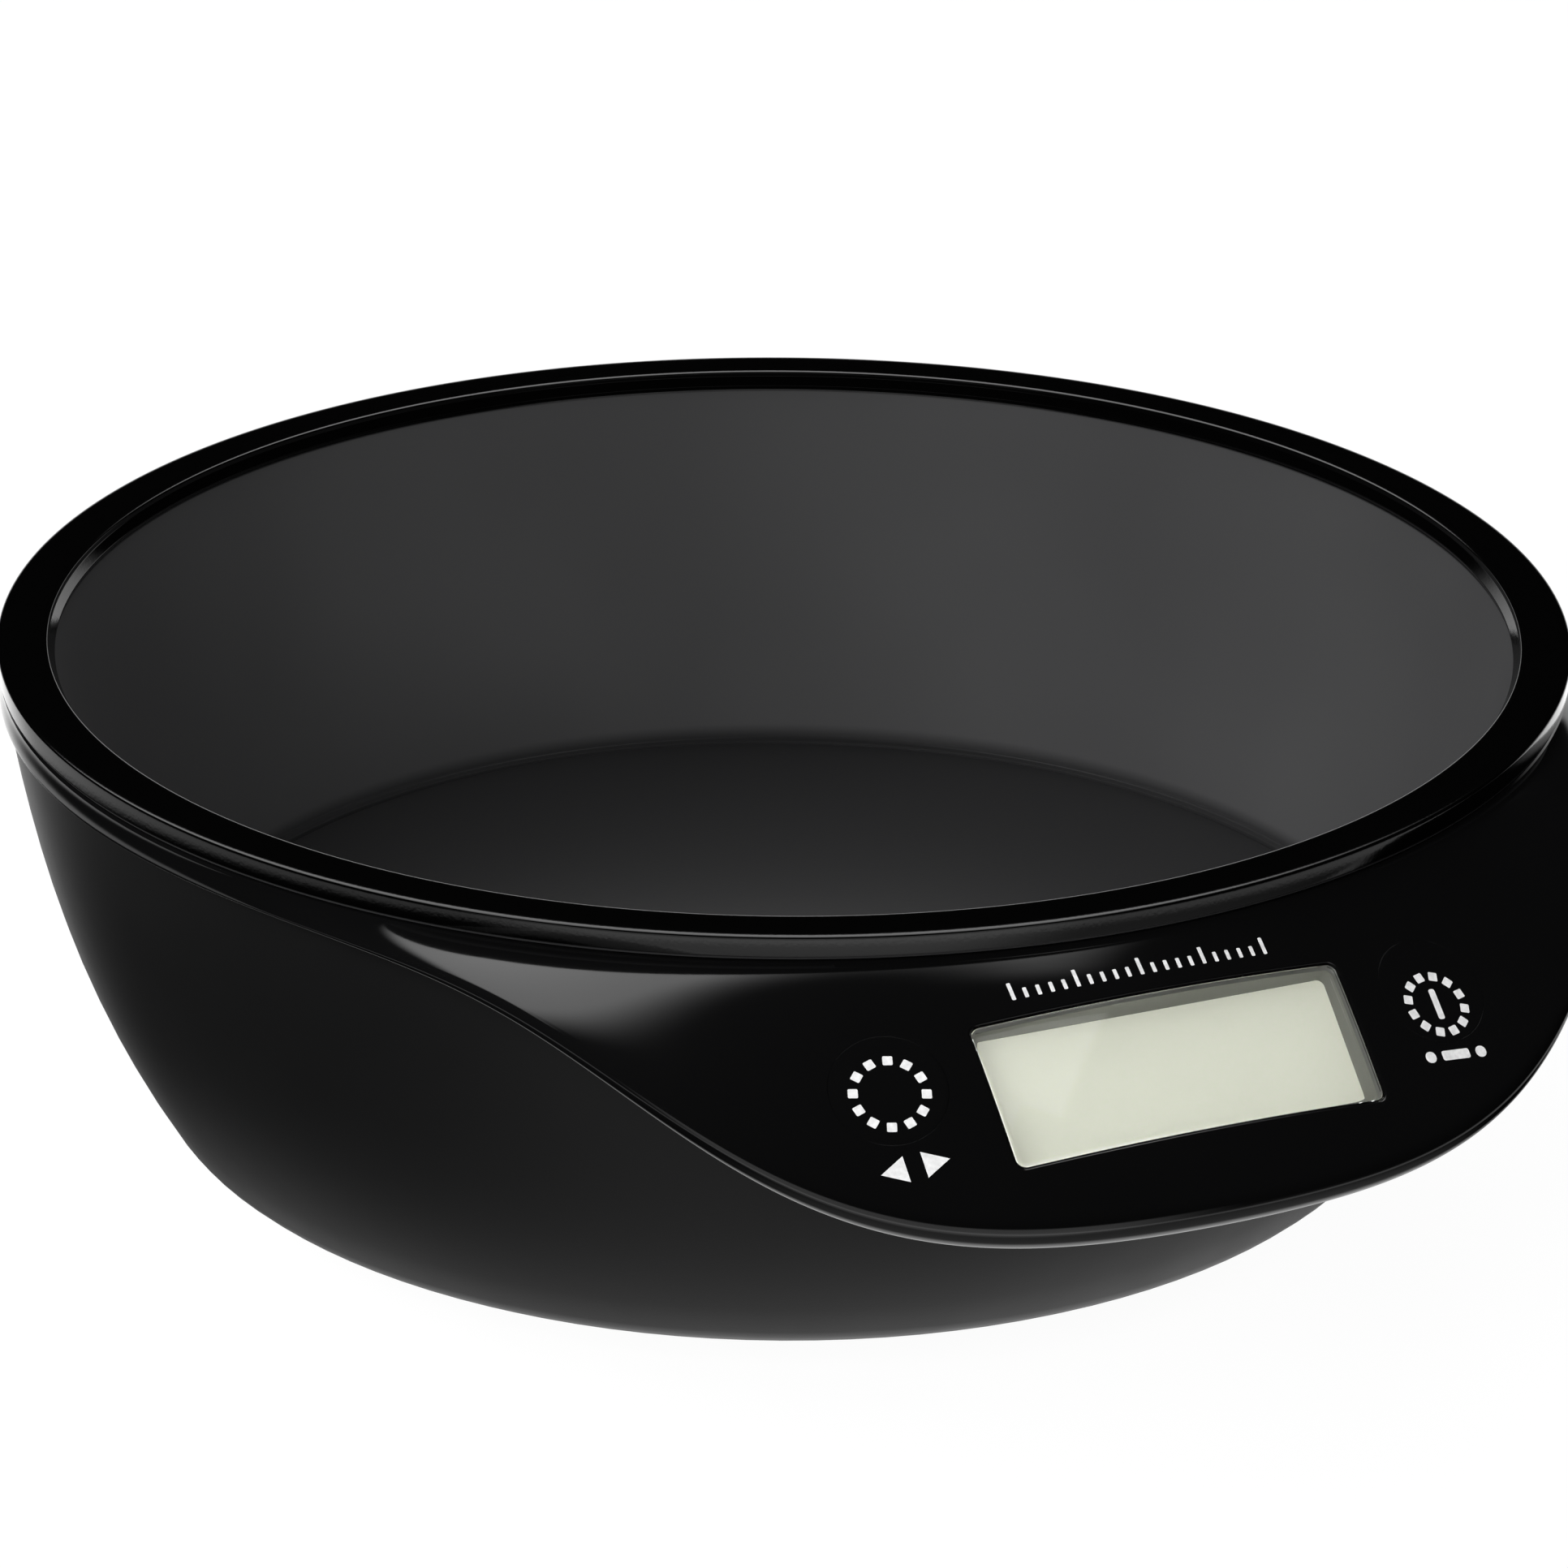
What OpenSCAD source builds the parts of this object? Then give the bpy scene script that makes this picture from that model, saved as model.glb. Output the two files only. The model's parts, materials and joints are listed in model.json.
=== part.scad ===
// Digital bowl scale: a lift-out mixing bowl in a round housing whose collar
// widens into a display console. The whole housing stands on one load cell.
// Origin: bowl axis, in the plane the feet rest on. The display faces -Y.

/* [Bowl] */
// Outer radius of the bowl's rim
rim_r = 105; // [95:1:112]
// Height of the rim's top above the table
height = 72.8; // [72:0.1:76]
// Width of the rim, from its outer edge to the inner wall
rim_w = 6.7; // [6:0.1:7.5]
// Height of the rim's outer lip
lip_h = 3.15; // [2.8:0.05:3.6]
// Depth of the bowl's floor below the rim's top
bowl_depth = 53; // [50:0.5:53]
// Inner radius of the bowl's flat floor
bowl_floor_r = 85.2; // [80:0.1:86]
// Thickness of the bowl's wall and floor
bowl_t = 2; // [1.6:0.1:2.2]

/* [Console] */
// How far the console stands out past the rim
console_reach = 26.7; // [22:0.1:30]
// Half angle at which the console's reach has halved
reach_half_angle = 37; // [33:0.5:40]
// How steeply the reach fades round the rim
reach_power = 3.4; // [2.5:0.1:4]
// Height of the collar's plain band, from the rim's top to its seam
band_drop = 6.9; // [6:0.1:8]
// How far the seam dips below the band at the console
console_drop = 23.6; // [20:0.1:26]
// Half angle at which the dip has halved
drop_half_angle = 28.6; // [26:0.2:32]
// How steeply the dip fades round the rim
drop_power = 3.8; // [3:0.1:4.5]
// Wall thickness of the collar
collar_t = 1.8; // [1.6:0.1:2]

/* [Display] */
// Width of the display window
window_w = 49.8; // [46:0.2:52]
// Height of the display window
window_h = 19.2; // [17:0.2:20]
// Tilt of the display's normal above the horizontal
panel_tilt = 48.2; // [44:0.2:52]
// Distance of the window's centre from the bowl axis
panel_r = 118.65; // [117:0.05:120]
// Depth of the window's centre below the rim's top
panel_drop = 14.3; // [13.5:0.1:15]
// Sideways distance of each key from the window's centre
key_x = 36.75; // [35:0.25:38]
// Distance of each key above the window's centre line
key_y = 4.1; // [2:0.1:5]
// Radius of each key cap
key_r = 7.2; // [6:0.1:7.6]

/* [Base] */
// Radius of the base plate
base_r = 66; // [60:1:67]
// Radius of the opening in the bottom cover
cover_hole_r = 40; // [39:0.5:44]
// Radius of the circle that the feet stand on
feet_circle_r = 56; // [48:1:58]

/* [Hidden] */
$fn = 96;

eps = 0.01;
// Heights above the table, from the bottom up
foot_h = 1.8;
plate_t = 2.6;
plate_top = foot_h + plate_t;
cover_bottom = 6;
cover_t = 2;
cover_top = cover_bottom + cover_t;
cell_bottom = 7.1;
cell_h = 6;
cell_top = cell_bottom + cell_h;
deck_t = 2.2;
deck_top = 16.8;
deck_bottom = deck_top - deck_t;
bowl_bottom = height - bowl_depth - bowl_t;

// Steps between the collar's sections: close together over the console, wide elsewhere
fine_step = 4;
coarse_step = 8;
fine_to = 64;

// Collar and body where they meet under the rim
part_gap = 0.2;
collar_top = height - lip_h - part_gap;
collar_r = rim_r - 0.2;
ring_inner_r = collar_r - collar_t;
body_top_r = ring_inner_r * cos(coarse_step / 2) - 0.05;
body_top_inner_r = body_top_r - 1.9;
body_wall_t = 2.2;
shoulder_z = height - band_drop - 0.1;

// Outer curve of the body: a Bezier wall that ends in an arc to the flat bottom
corner_r = 6.8;
corner_centre = [79.7, cover_bottom + corner_r];
corner_start = -31;
wall_start = [collar_r - 0.1, height - lip_h];
wall_end = corner_centre + corner_r * [cos(corner_start), sin(corner_start)];
wall_c1 = wall_start + [-2.8, -20];
wall_c2 = wall_end + [12, 20];
wall_steps = 12;

function bezier(a, b, c, d, t) =
    pow(1 - t, 3) * a + 3 * pow(1 - t, 2) * t * b + 3 * (1 - t) * t * t * c + t * t * t * d;
function wall_point(t) = bezier(wall_start, wall_c1, wall_c2, wall_end, t);
function wall_param(z, low = 0, high = 1, n = 14) =
    n == 0 ? (low + high) / 2
    : let (mid = (low + high) / 2)
      wall_point(mid)[1] > z ? wall_param(z, mid, high, n - 1) : wall_param(z, low, mid, n - 1);
function wall_r(z) = wall_point(wall_param(z))[0];
function wall_inner(t) =
    let (d = wall_point(t + eps) - wall_point(t - eps))
    wall_point(t) - body_wall_t / norm(d) * [-d[1], d[0]];

// The collar's section at an angle a from the display, as [radius, height] points
edge_r_band = 0.4;
edge_r_console = 2.7;
edge_low_angle = -67;
underside_slope = 16.4;
crown_angle = 18;
crown_start = 0.22;
crown_end = 0.3;
skin_steps = 8;
arc_steps = 4;
lip_len = 1.5;

function bell(a, half_angle, power) = exp(-ln(2) * pow(abs(a) / half_angle, power));
function reach(a) = console_reach * bell(a, reach_half_angle, reach_power);
function edge_r(a) =
    edge_r_band + (edge_r_console - edge_r_band) * bell(a, reach_half_angle, reach_power);
function edge_low(a) = [
    collar_r + reach(a),
    height - band_drop - console_drop * bell(a, drop_half_angle, drop_power)
];
function edge_centre(a) =
    edge_low(a) - edge_r(a) * [cos(edge_low_angle), sin(edge_low_angle)];
skin_top = [collar_r, collar_top - 0.4];
function chord(a) = edge_centre(a) - skin_top;
function chord_tilt(a) = atan2(chord(a)[0], -chord(a)[1]);
function facing(tilt) = [cos(tilt), sin(tilt)];
function along(tilt) = [sin(tilt), -cos(tilt)];
function crown(a) = crown_angle * min(1, reach(a) / 8);
function skin_end(a) = edge_centre(a) + edge_r(a) * facing(chord_tilt(a) - 3);
function skin_point(a, t) =
    let (l = norm(skin_end(a) - skin_top))
    bezier(skin_top,
        skin_top + crown_start * l * along(chord_tilt(a) + crown(a)),
        skin_end(a) - crown_end * l * along(chord_tilt(a) - 3),
        skin_end(a), t);
function skin_facing(a, t) =
    let (d = skin_point(a, t + eps) - skin_point(a, t - eps))
    [-d[1], d[0]] / norm(d);
under_facing = underside_slope - 90;
under_along = [-cos(underside_slope), -sin(underside_slope)];
function blend_in(a) = min(1, max(0, (reach(a) - 2) / 5.5));
function mix(p, q, k) = (1 - k) * p + k * q;
function lip_outer(a) = mix(
    [collar_r - edge_r_band, edge_low(a)[1]],
    edge_centre(a) + edge_r(a) * facing(under_facing) + lip_len * under_along,
    blend_in(a));
function lip_inner(a) = mix(
    [ring_inner_r, edge_low(a)[1]],
    lip_outer(a) - collar_t * facing(under_facing),
    blend_in(a));
function inner_corner(a) = mix(
    [ring_inner_r, edge_low(a)[1] + 0.6],
    edge_centre(a) + (edge_r(a) - collar_t) * facing(-12),
    blend_in(a));

function collar_section(a) = concat(
    [[ring_inner_r, collar_top], [collar_r - 0.5, collar_top]],
    [for (i = [0 : skin_steps]) skin_point(a, i / skin_steps)],
    [for (i = [1 : arc_steps])
        let (from = chord_tilt(a) - 3)
        edge_centre(a) + edge_r(a) * facing(from + (under_facing - from) * i / arc_steps)],
    [lip_outer(a), lip_inner(a), inner_corner(a)],
    [for (i = [skin_steps - 1 : -1 : 1])
        skin_point(a, i / skin_steps) - collar_t * skin_facing(a, i / skin_steps)]
);

// A point [radius, height] turned to the angle a from the display, seen from above
function turn(p, a) = [p[0] * sin(a), -p[0] * cos(a), p[1]];

// Angles of the collar's sections
collar_angles = concat(
    [for (a = [-fine_to : fine_step : fine_to]) a],
    [for (a = [fine_to + coarse_step : coarse_step : 360 - fine_to - coarse_step]) a]
);
function signed(a) = a > 180 ? a - 360 : a;

module ring_loft(angles) {
    sections = [for (a = angles) [for (p = collar_section(signed(a))) turn(p, a)]];
    count = len(sections[0]);
    slices = len(sections);
    points = [for (s = sections) each s];
    faces = [for (i = [0 : slices - 1], j = [0 : count - 1])
        let (i2 = (i + 1) % slices, j2 = (j + 1) % count)
        each [
            [i * count + j, i2 * count + j, i2 * count + j2],
            [i * count + j, i2 * count + j2, i * count + j2]
        ]];
    polyhedron(points, faces, convexity = 10);
}

module open_loft(sections) {
    count = len(sections[0]);
    slices = len(sections);
    points = [for (s = sections) each s];
    sides = [for (i = [0 : slices - 2], j = [0 : count - 1])
        let (j2 = (j + 1) % count)
        each [
            [i * count + j, (i + 1) * count + j, (i + 1) * count + j2],
            [i * count + j, (i + 1) * count + j2, i * count + j2]
        ]];
    first = [for (j = [0 : count - 1]) j];
    last = [for (j = [count - 1 : -1 : 0]) (slices - 1) * count + j];
    polyhedron(points, concat(sides, [first, last]), convexity = 6);
}

// Frame of the display: x to the right, y up the panel, z out of it
module on_panel() {
    translate([0, -panel_r, height - panel_drop])
        rotate([90 - panel_tilt, 0, 0])
            children();
}

module rounded_plate(w, h, r, z0, z1) {
    translate([0, 0, z0])
        linear_extrude(z1 - z0)
            union() {
                square([w - 2 * r, h], center = true);
                square([w, h - 2 * r], center = true);
                for (x = [-1, 1], y = [-1, 1])
                    translate([x * (w / 2 - r), y * (h / 2 - r)])
                        circle(r, $fn = 24);
            }
}

module disc(r, z0, z1) {
    translate([0, 0, z0])
        cylinder(r = r, h = z1 - z0);
}

// A pan-head screw along +z: head from z = -head_h to 0, shank up to length
module screw(shank_r, length, head_r, head_h) {
    difference() {
        union() {
            disc(head_r, -head_h, 0);
            disc(shank_r, -head_h / 2, length);
        }
        for (a = [0, 90])
            rotate([0, 0, a])
                translate([-head_r * 0.6, -0.3, -head_h - 1])
                    cube([head_r * 1.2, 0.6, 1.6]);
    }
}

// Bowl ---------------------------------------------------------------------
rim_inner_r = rim_r - rim_w;
rim_crown_r = rim_w / 2;
rim_crown_h = 0.6;
wall_lean = (rim_inner_r - bowl_floor_r) / (bowl_depth - 2);
floor_corner_r = 3;

// A rounded rectangle's share of the way across, from a circle's
function squared(v) = sign(v) * pow(abs(v), 0.6);

module bowl() {
    lean = atan(wall_lean);
    outer_shift = bowl_t / cos(lean);
    lip_inner_r = rim_inner_r + outer_shift - wall_lean * lip_h;
    crown = [for (t = [180 : -15 : 0])
        [rim_r - rim_crown_r + rim_crown_r * squared(cos(t)),
            height - rim_crown_h * (1 - squared(sin(t)))]];
    color([0.1, 0.1, 0.1])
        rotate_extrude($fn = 144)
            polygon(concat(
                [[0, bowl_bottom], [bowl_floor_r - 1, bowl_bottom]],
                [[bowl_floor_r + outer_shift - 0.6, bowl_bottom + 1]],
                [[lip_inner_r, height - lip_h], [rim_r - 0.3, height - lip_h],
                    [rim_r, height - lip_h + 0.3]],
                [for (i = [len(crown) - 1 : -1 : 0]) crown[i]],
                [[rim_inner_r, height - 2]],
                [[bowl_floor_r + 1, height - bowl_depth + 3.6]],
                [[bowl_floor_r - 0.8, height - bowl_depth + 1.1]],
                [[bowl_floor_r - 3, height - bowl_depth], [0, height - bowl_depth]]
            ));
}

// Housing ------------------------------------------------------------------
cable_slot_w = 10;
cable_slot_z = height - 22.2;
deck_slot_y = -83.5;
boss_circle_r = 70.5;
boss_r = 2.9;
bore_r = 1.15;
boss_angles = [45, 135, 225, 315];
console_boss_angles = [-27, -13, 13, 27];
cover_r = 75.4;

module body_shell() {
    outer_top = wall_param(shoulder_z);
    inner_top = wall_param(shoulder_z - 3);
    inner_low = wall_param(deck_top + 0.6);
    outer = [for (i = [0 : wall_steps]) wall_point(outer_top + (1 - outer_top) * i / wall_steps)];
    inner = [for (i = [0 : wall_steps])
        wall_inner(inner_top + (inner_low - inner_top) * i / wall_steps)];
    corner = [for (a = [-90 : 12 : corner_start - 10])
        corner_centre + corner_r * [cos(a), sin(a)]];
    color([0.16, 0.16, 0.17])
        difference() {
            union() {
                rotate_extrude($fn = 144)
                    polygon(concat(
                        [[0, deck_top], [0, deck_bottom], [wall_r(deck_bottom) - 2.4, deck_bottom],
                            [wall_end[0] - 2, cover_top + 1.6], [corner_centre[0] + 2.8, cover_top],
                            [cover_r + 0.1, cover_top], [cover_r + 0.1, cover_bottom]],
                        corner,
                        [for (i = [wall_steps : -1 : 0]) outer[i]],
                        [[body_top_r, shoulder_z], [body_top_r, collar_top - 0.3],
                            [body_top_inner_r, collar_top - 0.3],
                            [body_top_inner_r, shoulder_z - 0.6]],
                        inner,
                        [[inner[wall_steps][0] - 0.6, deck_top]]
                    ));
                for (a = boss_angles)
                    rotate([0, 0, a])
                        translate([boss_circle_r, 0, 0])
                            disc(boss_r, cover_top, deck_bottom + eps);
                for (a = console_boss_angles)
                    turned(a)
                        translate([0, -console_boss_r(a), 0])
                            disc(boss_r, boss_low(a), boss_low(a) + 8);
            }
            for (a = boss_angles)
                rotate([0, 0, a])
                    translate([boss_circle_r, 0, 0])
                        disc(bore_r, cover_top - 1, deck_bottom - 0.8);
            for (a = console_boss_angles)
                turned(a)
                    translate([0, -console_boss_r(a), 0])
                        disc(bore_r, screw_seat_z(a) - 1.5, boss_low(a) + 6);
            // Seats and holes of the load cell's upper screws
            for (x = top_screw_x)
                translate([x, 0, 0]) {
                    disc(cell_hole_r, deck_bottom - 1, deck_top + 1);
                    disc(seat_r, deck_top - seat_h, deck_top + 1);
                }
            // Way for the ribbon cable: a slot in the deck and one in the wall
            translate([-cable_slot_w / 2, deck_slot_y - 1, deck_bottom - 1])
                cube([cable_slot_w, 2, deck_t + 2]);
            translate([-cable_slot_w / 2, -rim_r, cable_slot_z - 1.3])
                cube([cable_slot_w, 14, 2.6]);
        }
}

module turned(a) {
    rotate([0, 0, a])
        children();
}

// Underside of the console, as [radius, height], from the collar's lip to the body wall
base_t = 1.8;
base_end_reach = 3.9;
function under_start(a) = lip_outer(a) + 0.1 * under_along;
function under_z(a, r) = under_start(a)[1] - tan(underside_slope) * (under_start(a)[0] - r);
function under_end(a, z, n = 6) =
    n == 0 ? [wall_r(z) + 0.2, z] : under_end(a, under_z(a, wall_r(z) + 0.2), n - 1);
function console_boss_r(a) = wall_r(under_end(a, under_start(a)[1])[1] + 6) + 1.6;
function screw_seat_z(a) = under_z(a, console_boss_r(a)) + base_t - 1;
function boss_low(a) = screw_seat_z(a) + 2.6;

// It ends on each side where the console's reach has fallen to base_end_reach, thinning as it goes
base_end = reach_half_angle * pow(ln(console_reach / base_end_reach) / ln(2), 1 / reach_power);
base_last_step = fine_step * floor((base_end - 1) / fine_step);
base_angles = concat(
    [base_end],
    [for (a = [base_last_step : -fine_step : -base_last_step]) a],
    [-base_end]
);

module console_base() {
    sections = [for (a = base_angles)
        let (s = under_start(a), e = under_end(a, s[1]), t = base_t * pow(blend_in(a), 2),
            up = -t * facing(under_facing), inset = min(0.8, (s[0] - e[0]) / 2))
        [turn(s, a), turn(e, a), turn([wall_r(e[1] + t) + 0.2, e[1] + t], a),
            turn(s + up + inset * under_along, a)]];
    color([0.05, 0.05, 0.05])
        difference() {
            open_loft(sections);
            for (a = console_boss_angles)
                turned(a)
                    translate([0, -console_boss_r(a), 0]) {
                        disc(bore_r + 0.3, 0, height);
                        disc(2.7, 0, screw_seat_z(a));
                    }
        }
}

module console_screws() {
    color("silver")
        for (a = console_boss_angles)
            turned(a)
                translate([0, -console_boss_r(a), screw_seat_z(a)])
                    screw(bore_r - 0.05, 6.5, 2.3, 1.2);
}

module collar() {
    color([0.03, 0.03, 0.03])
        difference() {
            ring_loft(collar_angles);
            on_panel() {
                rounded_plate(window_w, window_h, 2, -8, 8);
                for (x = [-1, 1])
                    translate([x * key_x, key_y, 0])
                        disc(key_r + key_gap, -12, 4);
            }
        }
    // Posts that the board is screwed to
    color([0.03, 0.03, 0.03])
        on_panel()
            for (p = board_screw_at)
                translate([p[0], p[1], 0])
                    difference() {
                        disc(2.3, board_top, post_top);
                        disc(0.95, board_top - 1, post_top - 1.5);
                    }
}

// Display, on the panel's frame ----------------------------------------------
window_gap = 0.15;
well_margin = 0.6;
holder_wall = 1.8;
glass_top = -6.2;
glass_bottom = -8.4;
board_top = -9.6;
board_bottom = -10.8;
board_w = 84;
board_high = 8.5;
board_low = -9.5;
glass_w = 51;
glass_h = 20;
zebra_y = 8;

// Solid under the collar's skin, to a depth below its outside
module skin_block(depth = 0) {
    open_loft([for (a = [-8 * fine_step : fine_step : 8 * fine_step])
        [for (p = concat(
            [for (i = [0 : skin_steps])
                skin_point(a, i / skin_steps) - depth * skin_facing(a, i / skin_steps)],
            [[rim_r - 20, edge_low(a)[1]], [rim_r - 20, collar_top]]))
            turn(p, a)]]);
}

// The window is the piece of the collar's own curve that its opening leaves out
module display_window() {
    color([0.85, 0.9, 0.85, 0.4])
        intersection() {
            on_panel()
                rounded_plate(window_w - 2 * window_gap, window_h - 2 * window_gap, 1.9, -8, 4);
            ring_loft(collar_angles);
        }
}

// A tube from the board to the underside of the collar, with a ledge for the glass
module lcd_holder() {
    well_w = window_w - 2 * well_margin;
    well_h = window_h - 2 * well_margin;
    color([0.5, 0.5, 0.5])
        difference() {
            intersection() {
                on_panel()
                    rounded_plate(well_w + 2 * holder_wall, well_h + 2 * holder_wall, 1.5, board_top, 4);
                skin_block(collar_t + 0.1);
            }
            on_panel() {
                rounded_plate(well_w, well_h, 1, board_top - 1, 5);
                rounded_plate(glass_w + 0.2, glass_h + 0.2, 0.6, board_top - 1, glass_top);
            }
        }
}

module lcd_glass() {
    color([0.8, 0.84, 0.74])
        on_panel()
            rounded_plate(glass_w, glass_h, 0.5, glass_bottom, glass_top - 0.02);
}

module zebra_strips() {
    color([0.3, 0.3, 0.35])
        on_panel()
            for (y = [-zebra_y, zebra_y])
                translate([-23, y - 1, board_top])
                    cube([46, 2, glass_bottom - board_top]);
}

board_screw_at = [[-31, -7.5], [31, -7.5]];
post_top = -3;

// Right half of the board's outline, with its lower corner cut off
board_side = [[board_w / 2 - 8, board_low], [board_w / 2, board_low + 8], [board_w / 2, board_high]];
function reversed(list) = [for (i = [len(list) - 1 : -1 : 0]) list[i]];

module control_board() {
    color([0.1, 0.4, 0.2])
        on_panel()
            difference() {
                translate([0, 0, board_bottom])
                    linear_extrude(board_top - board_bottom)
                        polygon([for (s = [-1, 1], p = s < 0 ? board_side : reversed(board_side))
                            [s * p[0], p[1]]]);
                for (p = board_screw_at)
                    translate([p[0], p[1], 0])
                        disc(1.1, board_bottom - 1, board_top + 1);
            }
}

module board_components() {
    color([0.08, 0.08, 0.08])
        on_panel() {
            translate([-20, -1, board_bottom - 1.4])
                cylinder(r = 5, h = 1.4);
            for (x = [8, 12, 16])
                translate([x, 2, board_bottom - 0.8])
                    cube([2, 1.2, 0.8]);
            translate([24, -3, board_bottom - 1.6])
                cube([6, 3, 1.6]);
            translate([-ribbon_w / 2 - 1, -3, board_bottom - 1.8])
                cube([ribbon_w + 2, 4, 1.8]);
        }
}

// A key cap slides along the panel's normal; its face is part of the collar's skin
key_gap = 0.12;
key_bottom = -7.1;
key_flange_t = 0.6;
key_flange_r = key_r + 1;
key_travel = 0.4;
switch_h = 1.4;
actuator_top = key_bottom - key_travel - 0.1;

module key_switches() {
    color("dimgray")
        on_panel()
            for (x = [-key_x, key_x])
                translate([x, key_y, board_top]) {
                    translate([-3, -3, 0])
                        cube([6, 6, switch_h]);
                    disc(1.6, switch_h - eps, actuator_top - board_top);
                }
}

module board_screws() {
    color("silver")
        on_panel()
            for (p = board_screw_at)
                translate([p[0], p[1], board_bottom])
                    screw(0.9, 5, 1.9, 1);
}

module key_cap(side) {
    intersection() {
        on_panel()
            translate([side * key_x, key_y, 0])
                disc(key_r, key_bottom, 4);
        skin_block();
    }
    on_panel()
        translate([side * key_x, key_y, 0])
            disc(key_flange_r, key_bottom, key_bottom + key_flange_t);
}

module unit_key() {
    color([0.03, 0.03, 0.03])
        key_cap(-1);
}

module tare_key() {
    color([0.03, 0.03, 0.03])
        key_cap(1);
}

// Flat cable from under the deck, up between bowl and wall, and out to the board's socket
ribbon_w = 8;
ribbon_t = 0.4;
ribbon_path = [
    [-8, deck_bottom - 0.8],
    [deck_slot_y + 1.4, deck_bottom - 0.8],
    [deck_slot_y, deck_bottom + 0.6],
    [deck_slot_y, deck_top - 0.4],
    [deck_slot_y - 0.8, deck_top + 0.45],
    [-86.1, deck_top + 0.6],
    [-87.3, deck_top + 2],
    [-97.2, cable_slot_z - 4],
    [-98.6, cable_slot_z - 0.5],
    [-100.5, cable_slot_z],
    [-104.5, cable_slot_z - 0.3],
    [-108.5, cable_slot_z - 1.2],
    [-110.4, cable_slot_z - 2]
];
function stroke_side(path, side) = [for (i = [0 : len(path) - 1])
    let (a = path[max(i - 1, 0)], b = path[min(i + 1, len(path) - 1)], d = (b - a) / norm(b - a))
    path[i] + side * ribbon_t / 2 * [-d[1], d[0]]];

module ribbon_cable() {
    far_side = stroke_side(ribbon_path, -1);
    color([0.75, 0.75, 0.78])
        translate([-ribbon_w / 2, 0, 0])
            rotate([90, 0, 90])
                linear_extrude(ribbon_w)
                    polygon(concat(stroke_side(ribbon_path, 1),
                        [for (i = [len(ribbon_path) - 1 : -1 : 0]) far_side[i]]));
}

module bowl_pads() {
    color([0.3, 0.3, 0.3])
        for (a = [0 : 90 : 270])
            rotate([0, 0, a + 45])
                translate([60, 0, 0])
                    disc(5, deck_top, bowl_bottom);
}

// Underside of the housing ---------------------------------------------------
module bottom_cover() {
    color([0.16, 0.16, 0.17])
        difference() {
            disc(cover_r, cover_bottom, cover_top - 0.02);
            disc(cover_hole_r, 0, 20);
            for (a = boss_angles)
                rotate([0, 0, a])
                    translate([boss_circle_r, 0, 0]) {
                        disc(1.5, 0, 20);
                        disc(2.7, 0, cover_bottom + 1);
                    }
        }
}

module bottom_cover_screws() {
    color("silver")
        for (a = boss_angles)
            rotate([0, 0, a])
                translate([boss_circle_r, 0, cover_bottom + 1])
                    screw(1.1, 6, 2.3, 0.9);
}

// Load cell and its mountings ------------------------------------------------
cell_l = 62;
cell_w = 12;
top_screw_x = [19, 26];
base_screw_x = [-26, -19];
cell_hole_r = 1.7;
thread_r = 1.42;
seat_r = 3.1;
seat_h = 1.3;

module upper_spacer() {
    color([0.16, 0.16, 0.17])
        difference() {
            translate([15, -cell_w / 2, cell_top])
                cube([16, cell_w, deck_bottom - cell_top]);
            for (x = top_screw_x)
                translate([x, 0, 0])
                    disc(cell_hole_r, 0, height);
        }
}

module load_cell() {
    color([0.8, 0.8, 0.82])
        difference() {
            translate([-cell_l / 2, -cell_w / 2, cell_bottom])
                cube([cell_l, cell_w, cell_h]);
            for (x = [-5.5, 5.5])
                translate([x, 10, cell_bottom + cell_h / 2])
                    rotate([90, 0, 0])
                        cylinder(r = 2.3, h = 20);
            translate([-5.5, -10, cell_bottom + cell_h / 2 - 1])
                cube([11, 20, 2]);
            for (x = concat(top_screw_x, base_screw_x))
                translate([x, 0, 0])
                    disc(thread_r + 0.08, 0, cell_top + 1);
        }
}

module load_cell_screws_top() {
    color("silver")
        for (x = top_screw_x)
            translate([x, 0, deck_top - seat_h])
                rotate([180, 0, 0])
                    screw(thread_r, 6.6, 2.8, 1.1);
}

module gauge_coating() {
    color([0.9, 0.9, 0.9])
        for (y = [-cell_w / 2 - 0.8, cell_w / 2])
            translate([-10, y, cell_bottom + 0.5])
                cube([20, 0.8, cell_h - 1]);
}

module lower_spacer() {
    color([0.16, 0.16, 0.17])
        difference() {
            translate([-31, -cell_w / 2, plate_top])
                cube([16, cell_w, cell_bottom - plate_top]);
            for (x = base_screw_x)
                translate([x, 0, 0])
                    disc(cell_hole_r, 0, height);
        }
}

module load_cell_screws_base() {
    color("silver")
        for (x = base_screw_x)
            translate([x, 0, foot_h + seat_h])
                screw(thread_r, 7.6, 2.8, 1.1);
}

// Base plate with its battery pocket -----------------------------------------
pocket_y = -24;
pocket_r = 11.2;
pocket_wall = 2;
pocket_roof = 7.4;
door_t = 1.3;
door_half = 12.4;
hinge_y = pocket_y - door_half - 1;
hinge_r = 0.65;
hinge_z = foot_h + hinge_r + 0.05;
hinge_half = 7;
pin_r = 0.4;
pin_len = 1.2;

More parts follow.
